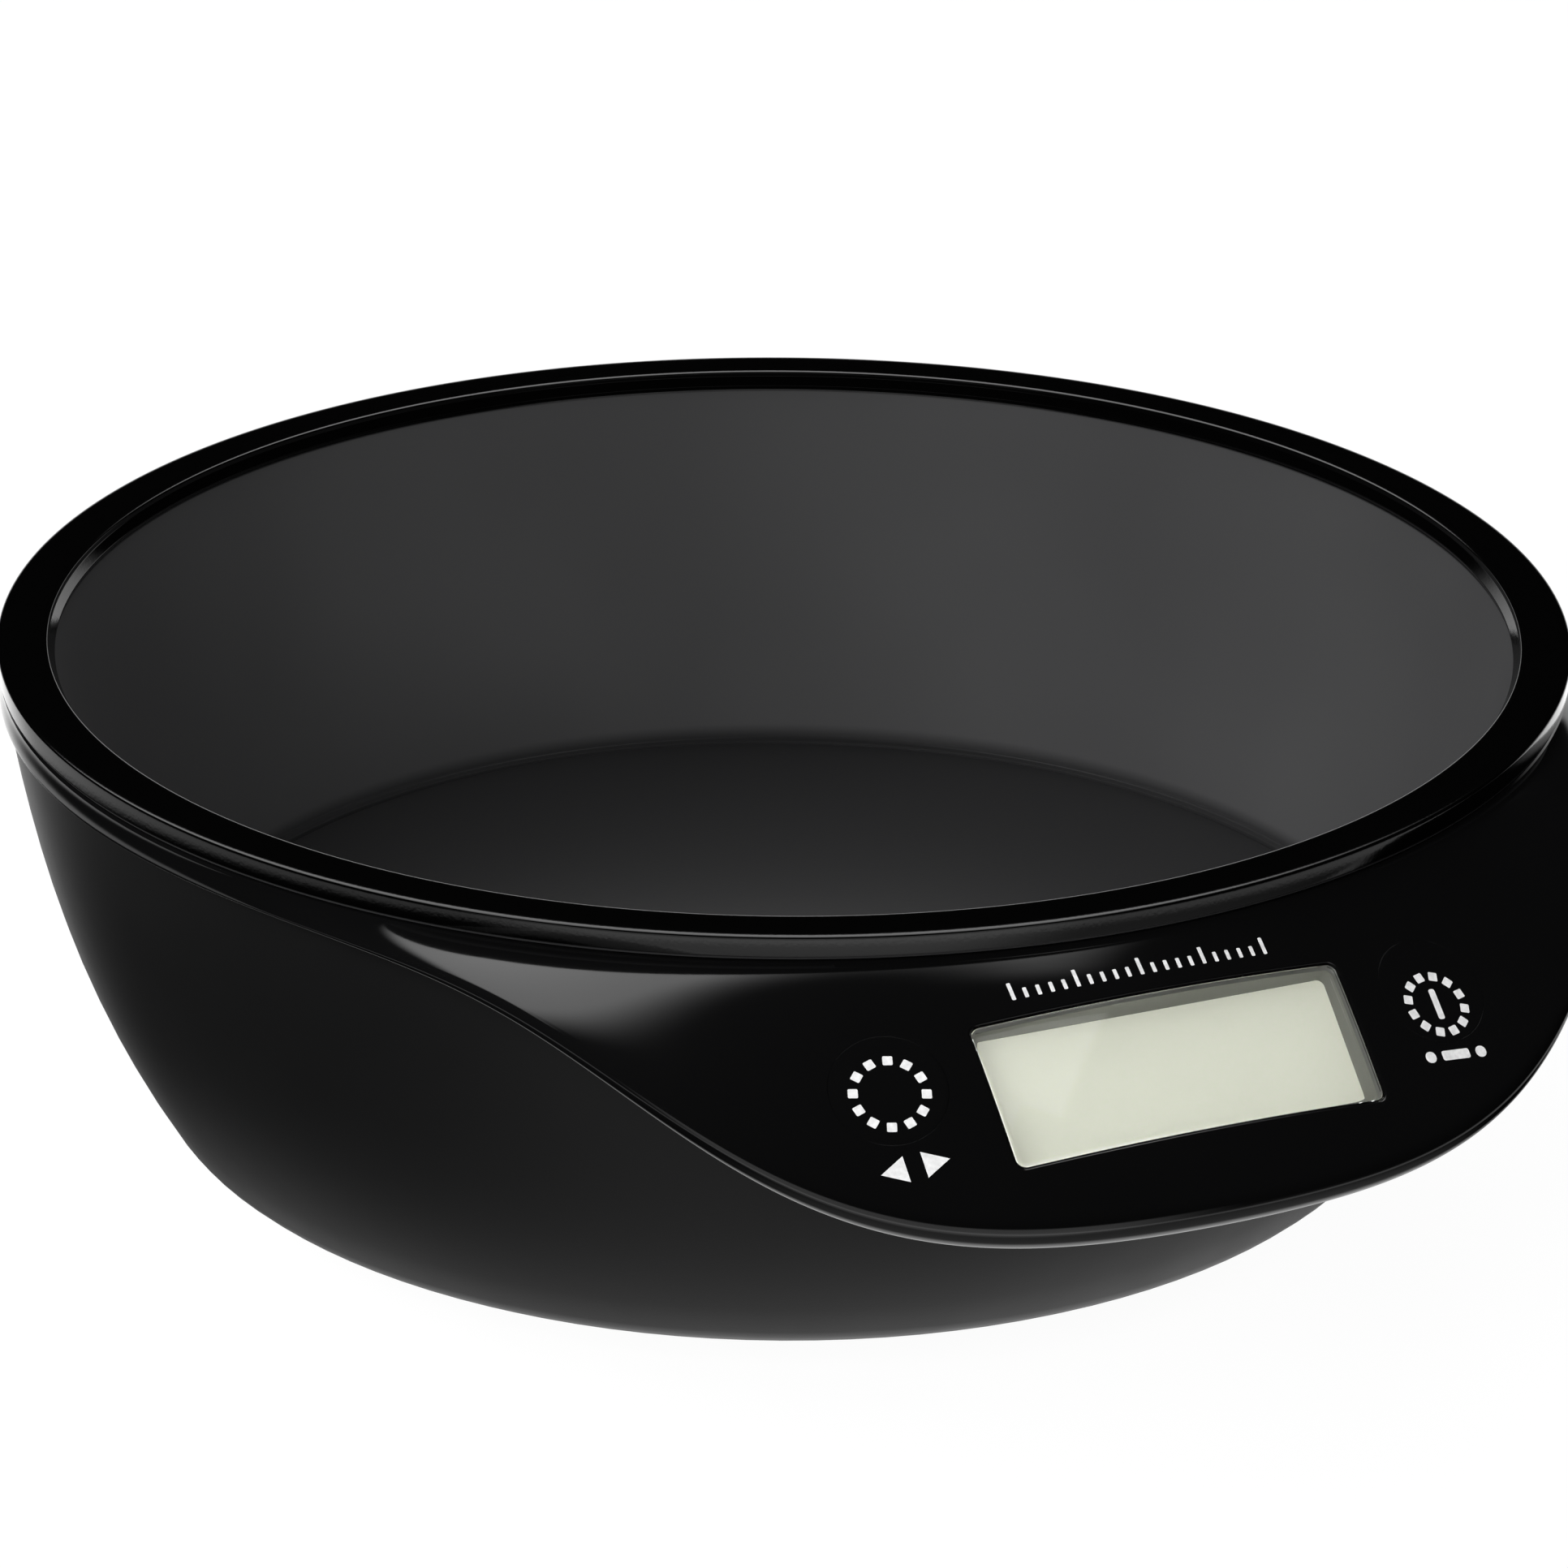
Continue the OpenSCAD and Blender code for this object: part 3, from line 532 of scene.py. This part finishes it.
METALS = {
    "screw_steel": dict(color=(0.6, 0.6, 0.6), rough=0.3, stretch=(1, 1, 8)),
    "cell_steel": dict(color=(0.7, 0.7, 0.69), rough=0.22, stretch=(1, 1, 1), scale=400),
    "cell_aluminium": dict(color=(0.78, 0.78, 0.79), rough=0.34, stretch=(1, 12, 12)),
    "contact_brass": dict(color=(0.8, 0.62, 0.35), rough=0.3, stretch=(1, 1, 6)),
}
MATERIALS = {
    "bowl_plastic": bowl_plastic(),
    "clear_window": clear_window(),
    "display_glass": display_glass(),
    "contact_rubber": striped_rubber(),
    "board_laminate": board_laminate(),
}
MATERIALS.update({name: moulded(name, **look) for name, look in MOULDED.items()})
MATERIALS.update({name: metal(name, **look) for name, look in METALS.items()})
INK = printed_white()


def dress_cad_nodes():
    """Gives every carried-over CAD node the material of its slot, and smooth shading."""
    for row in frame["record"]["subparts"]:
        node = frame["nodes"][row["node"]]
        node.data.materials.clear()
        node.data.materials.append(MATERIALS[row["material_slot"]])
        smooth_again(node)


# ---------------------------------------------------------------- bowl
def make_bowl():
    """Flat-topped rim with a bevel inside it, a slanting wall, and a floor with a groove round it."""
    inner_r = RIM_R - RIM_W
    lean = (inner_r - FLOOR_R) / (BOWL_DEPTH - 2)
    floor_z = HEIGHT - BOWL_DEPTH
    shift = BOWL_T / math.cos(math.atan(lean))
    lip_inner = inner_r + shift - lean * LIP_H
    chamfer = 1.3
    groove_d, groove_in, groove_out = 0.5, FLOOR_R - 2.0, FLOOR_R - 1.15
    crown_r, crown_h = RIM_W / 2, 0.6
    crown = [
        (
            RIM_R - crown_r - crown_r * math.copysign(abs(math.cos(t)) ** CROWN_SQUARE, math.cos(t)),
            HEIGHT - crown_h * (1 - math.sin(t) ** CROWN_SQUARE),
        )
        for t in np.linspace(0.0, math.pi - 1e-6, 41)
    ]
    lip_z = HEIGHT - crown_h
    inside = fillet([
        (0, floor_z, 0),
        (groove_in, floor_z, 0.08),
        (groove_in + 0.15, floor_z - groove_d, 0.08),
        (groove_out - 0.15, floor_z - groove_d, 0.08),
        (groove_out, floor_z + 0.05, 0.1),
        (FLOOR_R + 0.05, floor_z + 0.25, 0.6),
        (inner_r - 0.55, lip_z - chamfer - 0.55, 0.12),
        (inner_r - 0.75, lip_z - chamfer - 0.45, 0.12),
        (inner_r - 0.95, lip_z - chamfer, 0.25),
        (inner_r - 0.02, lip_z - 0.2, 0.3),
        crown[0],
    ])
    outside = fillet([
        crown[-1],
        (RIM_R, HEIGHT - LIP_H, 0.6),
        (lip_inner, HEIGHT - LIP_H, 0.4),
        (FLOOR_R + shift - 0.6, BOWL_BOTTOM + 1, 1),
        (FLOOR_R - 1, BOWL_BOTTOM, 1),
        (0, BOWL_BOTTOM, 0),
    ])
    profile = inside + crown[1:-1] + outside
    lathe("bowl_moulding", profile, "bowl", MATERIALS["bowl_plastic"], ["bowl"])


# ---------------------------------------------------------------- collar
def collar_profile(a, skin_steps=40, arc_steps=12):
    """The collar's section at angles a, as points [angle, place in section, (radius, height)]."""
    a = np.asarray(a, float)
    ring_r = COLLAR_R - COLLAR_T
    chord = edge_centre(a) - SKIN_TOP
    end_tilt = np.degrees(np.arctan2(chord[:, 0], -chord[:, 1])) - SKIN_END_TURN
    open_share = np.clip((reach(a) - OPEN_FROM_REACH) / OPEN_OVER, 0, 1)[:, None]
    one = np.ones((len(a), 1))
    top = [
        one * [ring_r, COLLAR_TOP],
        one * [COLLAR_R - 0.5, COLLAR_TOP],
        one * [COLLAR_R - 0.15, COLLAR_TOP - 0.12],
    ]
    skin = [skin_point(a, t) for t in np.linspace(0, 1, skin_steps)]
    arc = []
    for k in range(1, arc_steps + 1):
        angle = end_tilt + (UNDER_FACING - end_tilt) * k / arc_steps
        arc.append(edge_centre(a) + edge_r(a)[:, None] * facing(angle))
    under = -np.array([math.cos(math.radians(UNDER_SLOPE)), math.sin(math.radians(UNDER_SLOPE))])
    closed_out = np.stack([np.full(len(a), COLLAR_R - EDGE_R_BAND), edge_low(a)[:, 1]], -1)
    closed_in = np.stack([np.full(len(a), ring_r), edge_low(a)[:, 1]], -1)
    open_out = edge_centre(a) + edge_r(a)[:, None] * facing(UNDER_FACING) + LIP_LEN * under
    lip_out = (1 - open_share) * closed_out + open_share * open_out
    lip_in = (1 - open_share) * closed_in + open_share * (lip_out - COLLAR_T * facing(UNDER_FACING))
    corner = (1 - open_share) * (closed_in + [0, 0.6]) + open_share * (
        edge_centre(a) + (edge_r(a)[:, None] - COLLAR_T) * facing(INNER_CORNER_FACING)
    )
    inner = []
    for t in np.linspace(1, 0, 12)[1:-1]:
        d = skin_point(a, t + 0.001) - skin_point(a, t - 0.001)
        n = np.stack([-d[:, 1], d[:, 0]], -1) / np.linalg.norm(d, axis=-1)[:, None]
        inner.append(skin_point(a, t) - COLLAR_T * n)
    return np.stack(top + skin + arc + [lip_out, lip_in, corner] + inner, 1)


def make_collar():
    """The gloss ring and console, with rounded edges round the window's and the keys' openings."""
    angles = np.concatenate([np.arange(-70, 70, 0.5), np.arange(70, 290, 2)])
    signed = np.where(angles > 180, angles - 360, angles)
    section = collar_profile(signed)
    points = turn(section, angles[:, None])
    faces = grid_faces(section.shape[0], section.shape[1], wrap_rows=True, wrap_cols=True)
    gloss = MATERIALS["collar_gloss"]
    collar = piece(
        "collar_moulding", points.reshape(-1, 3), faces, "housing", gloss, ["collar"]
    )
    openings = [
        ("window_edge", rounded_outline(WINDOW_W, WINDOW_H, WINDOW_R), WINDOW_EDGE),
        ("unit_key_edge", round_outline(-KEY_X, KEY_Y, KEY_R + KEY_GAP), KEY_EDGE),
        ("tare_key_edge", round_outline(KEY_X, KEY_Y, KEY_R + KEY_GAP), KEY_EDGE),
    ]
    for name, (outline, outward), r in openings:
        apply_cut(collar, outline + outward * r, *CUT_RANGE)
        opening_edge(name, outline, outward, r)
    collar.data.shade_smooth()
    collar.data.set_sharp_from_angle(angle=math.radians(38))


def opening_edge(name, outline, outward, r, depth=2.6, steps=6):
    """The rounded edge of an opening in the skin and the wall below it."""
    rows = []
    for k in range(steps + 1):
        a = math.radians(90 * k / steps)
        at = outline + outward * r * (1 - math.sin(a))
        z = skin_height(outline[:, 0] + outward[:, 0] * r, outline[:, 1] + outward[:, 1] * r)
        rows.append(np.column_stack([at, z - r * (1 - math.cos(a))]))
    rows.append(np.column_stack([outline, rows[0][:, 2] - depth]))
    points = from_panel(np.concatenate(rows))
    faces = grid_faces(len(rows), len(outline), wrap_cols=True)
    piece(name, points, faces, "housing", MATERIALS["collar_gloss"], sharp=60)


def skin_disc(outline, outward, edge, drop, inner_rows, z_bottom=None, centre=(0, 0)):
    """A cap over an outline: its top follows the skin, sunk by drop, with a rounded edge and a wall."""
    centre = np.array(centre)
    rows = []
    for k in range(inner_rows):
        s = (k + 0.02) / inner_rows
        at = centre + (outline - outward * edge - centre) * s
        rows.append(np.column_stack([at, skin_height(at[:, 0], at[:, 1]) - drop]))
    rim = outline - outward * edge
    rim_z = skin_height(rim[:, 0], rim[:, 1]) - drop
    for k in range(7):
        a = math.radians(90 * k / 6)
        at = rim + outward * edge * math.sin(a)
        rows.append(np.column_stack([at, rim_z - edge * (1 - math.cos(a))]))
    low = rim_z - COLLAR_T if z_bottom is None else np.full(len(outline), z_bottom)
    rows.append(np.column_stack([outline, low]))
    count = len(outline)
    points = np.concatenate(rows)
    faces = grid_faces(len(rows), count, wrap_cols=True)
    faces.append(tuple(range(count))[::-1])
    last = (len(rows) - 1) * count
    if z_bottom is None:
        for k in range(inner_rows - 1, -1, -1):
            s = (k + 0.02) / inner_rows
            at = centre + (outline - centre) * s
            under = np.column_stack([at, skin_height(at[:, 0], at[:, 1]) - drop - COLLAR_T])
            points = np.vstack([points, under])
        faces += grid_faces(inner_rows + 1, count, wrap_cols=True, start=last)
        last = len(points) - count
    faces.append(tuple(range(last, last + count)))
    return from_panel(points), faces


def make_window():
    w, h = WINDOW_W - 2 * WINDOW_GAP, WINDOW_H - 2 * WINDOW_GAP
    outline, outward = rounded_outline(w, h, WINDOW_R - 0.1)
    points, faces = skin_disc(outline, outward, 0.45, 0.08, 14)
    clear = MATERIALS["clear_window"]
    piece("window_moulding", points, faces, "housing", clear, ["display_window"])


def make_keys():
    """Two round caps that follow the skin, each on a flange that keeps it in."""
    gloss = MATERIALS["collar_gloss"]
    flange_top = KEY_BOTTOM + KEY_FLANGE_T
    for name, side in (("unit_key", -1), ("tare_key", 1)):
        centre = (side * KEY_X, KEY_Y)
        outline, outward = round_outline(*centre, KEY_R)
        points, faces = skin_disc(outline, outward, KEY_EDGE, 0.0, 10, flange_top, centre)
        piece(name + "_cap", points, faces, name, gloss, [name])
        flange, _ = round_outline(*centre, KEY_R + 1)
        count = len(flange)
        rows = [np.column_stack([flange, np.full(count, z)]) for z in (KEY_BOTTOM, flange_top)]
        faces = grid_faces(2, count, wrap_cols=True)
        faces += [tuple(range(count))[::-1], tuple(range(count, 2 * count))]
        piece(name + "_flange", from_panel(np.concatenate(rows)), faces, name, gloss)


# ---------------------------------------------------------------- printing
INK_LIFT = 0.012
INK_T = 0.02
RING_COUNT, RING_SQUARE = 12, 1.2
RINGS = [("unit_key", -KEY_X, KEY_Y - 0.5, 4.4), ("tare_key", KEY_X, KEY_Y - 2.0, 3.9)]
CHANGE_SIGN_Y = KEY_Y - 10.3
CLEAR_SIGN_Y = KEY_Y - 9.0
TICK_COUNT, TICK_PITCH, TICK_START = 21, 1.7, (-18, 11.9)
TALL_TICK, SHORT_TICK = 2.4, 1.4


def print_shape(name, shapes, body):
    """Flat shapes in the panel plane, given as outlines, laid on the skin as a thin layer of ink."""
    points, faces = [], []
    for outline in shapes:
        outline = np.asarray(outline, float)
        n = len(outline)
        z = skin_height(outline[:, 0], outline[:, 1])
        start = len(points)
        for lift in (INK_LIFT, INK_LIFT + INK_T):
            points += [(x, y, h + lift) for (x, y), h in zip(outline, z)]
        faces.append(tuple(range(start, start + n))[::-1])
        faces.append(tuple(range(start + n, start + 2 * n)))
        faces += [(start + i, start + (i + 1) % n, start + n + (i + 1) % n, start + n + i) for i in range(n)]
    return piece(name, from_panel(points), faces, body, INK)


def box_outline(cx, cy, w, h, angle=0.0, r=0.15, steps=3):
    """A small rectangle with softened corners, turned about its centre."""
    points, _ = rounded_outline(w, h, r, steps, 2)
    c, s = math.cos(math.radians(angle)), math.sin(math.radians(angle))
    return points @ np.array([[c, s], [-s, c]]) + [cx, cy]


def make_marks():
    """A ring of small squares on each key, a sign below it, and a row of ticks above the window."""
    for name, cx, cy, ring_r in RINGS:
        shapes = []
        for k in range(RING_COUNT):
            a = 360 * (k + 0.5) / RING_COUNT
            x = cx + ring_r * math.sin(math.radians(a))
            y = cy + ring_r * math.cos(math.radians(a))
            shapes.append(box_outline(x, y, RING_SQUARE, RING_SQUARE, -a))
        if cx > 0:
            shapes.append(box_outline(cx, cy, 0.9, 4.2, 0, 0.3))
        print_shape(name + "_ring", shapes, name)
    # Two arrowheads to change over, and a bar between two dots to clear
    arrows = []
    for side in (-1, 1):
        x, y = -KEY_X + side * 1.1, CHANGE_SIGN_Y
        arrows.append([(x, y - 1.7), (x + side * 3.2, y), (x, y + 1.7)][::side])
    print_shape("change_sign", arrows, "housing")
    signs = [box_outline(KEY_X + side * 3.7, CLEAR_SIGN_Y, 1.5, 1.5, 0, 0.7, 5) for side in (-1, 1)]
    signs.append(box_outline(KEY_X, CLEAR_SIGN_Y, 4.0, 1.3, 0, 0.3))
    print_shape("clear_sign", signs, "housing")
    ticks = []
    for k in range(TICK_COUNT):
        tall = TALL_TICK if k % 5 == 0 else SHORT_TICK
        x = TICK_START[0] + TICK_PITCH * k
        ticks.append(box_outline(x, TICK_START[1] + tall / 2, 0.5, tall, 0, 0.12, 2))
    print_shape("tick_row", ticks, "housing")


# ---------------------------------------------------------------- camera, light and stage
CAMERA_AZIMUTH = -24.1
CAMERA_ELEVATION = 22.89
CAMERA_DISTANCE = 9 * RIM_R
CAMERA_ROLL = 0.47
LENS = 160.2
AIM_RIGHT, AIM_DROP = 0.0013 * RIM_R, 0.2319 * RIM_R
LAMP_AIM = Vector((0, 0, 0.05))


def make_camera():
    az, el, roll = (math.radians(v) for v in (CAMERA_AZIMUTH, CAMERA_ELEVATION, CAMERA_ROLL))
    right = Vector((math.cos(az), math.sin(az), 0))
    back = Vector((math.sin(az) * math.cos(el), -math.cos(az) * math.cos(el), math.sin(el)))
    up = back.cross(right)
    aim = right * AIM_RIGHT + Vector((0, 0, HEIGHT - AIM_DROP))
    x_axis = right * math.cos(roll) + up * math.sin(roll)
    y_axis = up * math.cos(roll) - right * math.sin(roll)
    place = (aim + back * CAMERA_DISTANCE) * MM
    data = bpy.data.cameras.new("camera")
    data.lens = LENS
    data.sensor_width = 36
    data.clip_start, data.clip_end = 0.01, 20
    camera = bpy.data.objects.new("camera", data)
    bpy.context.scene.collection.objects.link(camera)
    camera.matrix_world = Matrix((
        (x_axis.x, y_axis.x, back.x, place.x),
        (x_axis.y, y_axis.y, back.y, place.y),
        (x_axis.z, y_axis.z, back.z, place.z),
        (0, 0, 0, 1),
    ))
    bpy.context.scene.camera = camera


def softbox(name, azimuth, elevation, distance, size, power):
    """A soft rectangular lamp, placed by its direction from the object, that no gloss reflects."""
    a, e = math.radians(azimuth), math.radians(elevation)
    way = Vector((math.sin(a) * math.cos(e), -math.cos(a) * math.cos(e), math.sin(e)))
    data = bpy.data.lights.new(name, "AREA")
    data.shape = "RECTANGLE"
    data.size, data.size_y = size
    data.energy = power
    lamp = bpy.data.objects.new(name, data)
    bpy.context.scene.collection.objects.link(lamp)
    lamp.location = LAMP_AIM + way * distance
    lamp.rotation_mode = "QUATERNION"
    lamp.rotation_quaternion = way.to_track_quat("Z", "Y")
    lamp.visible_camera = False
    lamp.visible_glossy = False


def make_lights():
    softbox("front_fill", -50, 28, 1.6, (0.9, 0.7), 22)
    softbox("left_fill", -115, 30, 1.6, (0.7, 0.7), 16)
    softbox("right_fill", 75, 32, 1.6, (0.7, 0.7), 7)
    softbox("overhead_fill", 60, 80, 1.5, (0.8, 0.8), 3)


def share(nodes, links, value, start, stop):
    """0 up to start and 1 from stop on, smoothly; the other way round when stop is the smaller."""
    remap = nodes.new("ShaderNodeMapRange")
    remap.interpolation_type = "SMOOTHSTEP"
    remap.inputs["From Min"].default_value = start
    remap.inputs["From Max"].default_value = stop
    links.new(value, remap.inputs["Value"])
    return remap.outputs["Result"]


def combine(nodes, links, operation, values):
    """Sum or product of values, each a socket or a number."""
    total = values[0]
    for value in values[1:]:
        math_node = nodes.new("ShaderNodeMath")
        math_node.operation = operation
        for socket, item in zip(math_node.inputs, (total, value)):
            if isinstance(item, (int, float)):
                socket.default_value = item
            else:
                links.new(item, socket)
        total = math_node.outputs["Value"]
    return total


def toward(nodes, links, way):
    """How far the surroundings' direction points along way."""
    place = nodes.new("ShaderNodeTexCoord")
    dot = nodes.new("ShaderNodeVectorMath")
    dot.operation = "DOT_PRODUCT"
    dot.inputs[1].default_value = way
    links.new(place.outputs["Generated"], dot.inputs[0])
    return dot.outputs["Value"]


def sine(degrees):
    return math.sin(math.radians(degrees))


def way_of(azimuth, elevation):
    """A direction from the object, its azimuth counted from the display."""
    flat = math.cos(math.radians(elevation))
    return sine(azimuth) * flat, -math.cos(math.radians(azimuth)) * flat, sine(elevation)


def blob(nodes, links, azimuth, elevation, inner, outer, strength):
    """A round glow, full to the inner angle and gone at the outer."""
    along_way = toward(nodes, links, way_of(azimuth, elevation))
    inside = share(nodes, links, along_way, sine(90 - outer), sine(90 - inner))
    return combine(nodes, links, "MULTIPLY", [inside, strength])


def panel(nodes, links, azimuth, half_width, soft, bottom, top, strength):
    """A tall soft panel toward an azimuth, seen in the gloss under the rim."""
    side = toward(nodes, links, way_of(azimuth + 90, 0))
    ahead = toward(nodes, links, way_of(azimuth, 0))
    height = toward(nodes, links, (0, 0, 1))
    parts = [
        share(nodes, links, side, -sine(half_width + soft), -sine(half_width)),
        share(nodes, links, side, sine(half_width + soft), sine(half_width)),
        share(nodes, links, height, sine(bottom), sine(bottom + 8)),
        share(nodes, links, height, sine(top + 15), sine(top)),
        share(nodes, links, ahead, 0.0, 0.1),
        strength,
    ]
    return combine(nodes, links, "MULTIPLY", parts)


def horizon(nodes, links, azimuth, bottom, top, soft_below, soft_above, strength):
    """A glow between two elevations near the horizon, on one side or all round."""
    height = toward(nodes, links, (0, 0, 1))
    parts = [
        1.0 if azimuth is None else share(nodes, links, toward(nodes, links, way_of(azimuth, 0)), 0.62, 0.86),
        share(nodes, links, height, sine(bottom - soft_below), sine(bottom)),
        share(nodes, links, height, sine(top + soft_above), sine(top)),
        strength,
    ]
    return combine(nodes, links, "MULTIPLY", parts)


def make_world():
    """White to the camera; to the object, a dark studio with a soft panel behind and a pale table below."""
    world = bpy.data.worlds.new("studio")
    bpy.context.scene.world = world
    world.use_nodes = True
    nodes, links = world.node_tree.nodes, world.node_tree.links
    shown = nodes["Background"]
    shown.inputs["Color"].default_value = (1, 1, 1, 1)
    shown.inputs["Strength"].default_value = 1.0
    lit = nodes.new("ShaderNodeBackground")
    glows = [
        0.002,
        panel(nodes, links, 166, 14, 9, 29, 66, 2.8),
        horizon(nodes, links, 150, -24, 8, 14, 7, 1.2),
        horizon(nodes, links, -24, -26, 2, 16, 7, 0.9),
        horizon(nodes, links, None, -23.5, -20, 3, 4, 0.8),
        blob(nodes, links, 12, -60, 20, 58, 0.4),
        blob(nodes, links, 150, -64, 12, 38, 1.4),
    ]
    links.new(combine(nodes, links, "ADD", glows), lit.inputs["Strength"])
    path = nodes.new("ShaderNodeLightPath")
    mix = nodes.new("ShaderNodeMixShader")
    links.new(path.outputs["Is Camera Ray"], mix.inputs["Fac"])
    links.new(lit.outputs["Background"], mix.inputs[1])
    links.new(shown.outputs["Background"], mix.inputs[2])
    links.new(mix.outputs["Shader"], nodes["World Output"].inputs["Surface"])


def make_floor():
    """A wide white table, seen only from above."""
    half = 6.0
    corners = [(-half, -half, 0), (half, -half, 0), (half, half, 0), (-half, half, 0)]
    mesh = bpy.data.meshes.new("floor")
    mesh.from_pydata(corners, [], [(0, 1, 2, 3)])
    floor = bpy.data.objects.new("floor", mesh)
    bpy.context.scene.collection.objects.link(floor)
    mat, nodes, links, shader = new_material("table_white", (0.06, 0.06, 0.06), 0.9)
    shader.inputs["Specular IOR Level"].default_value = 0
    shader.inputs["Emission Color"].default_value = (1, 1, 1, 1)
    shader.inputs["Emission Strength"].default_value = 0.96
    clear = nodes.new("ShaderNodeBsdfTransparent")
    side = nodes.new("ShaderNodeNewGeometry")
    mix = nodes.new("ShaderNodeMixShader")
    links.new(side.outputs["Backfacing"], mix.inputs["Fac"])
    links.new(shader.outputs["BSDF"], mix.inputs[1])
    links.new(clear.outputs["BSDF"], mix.inputs[2])
    links.new(mix.outputs["Shader"], nodes["Material Output"].inputs["Surface"])
    mesh.materials.append(mat)
    floor.visible_glossy = False
    floor.visible_diffuse = False


dress_cad_nodes()
make_bowl()
make_collar()
make_window()
make_keys()
make_marks()
make_camera()
make_lights()
make_world()
make_floor()
bpy.context.scene.view_settings.view_transform = "Standard"
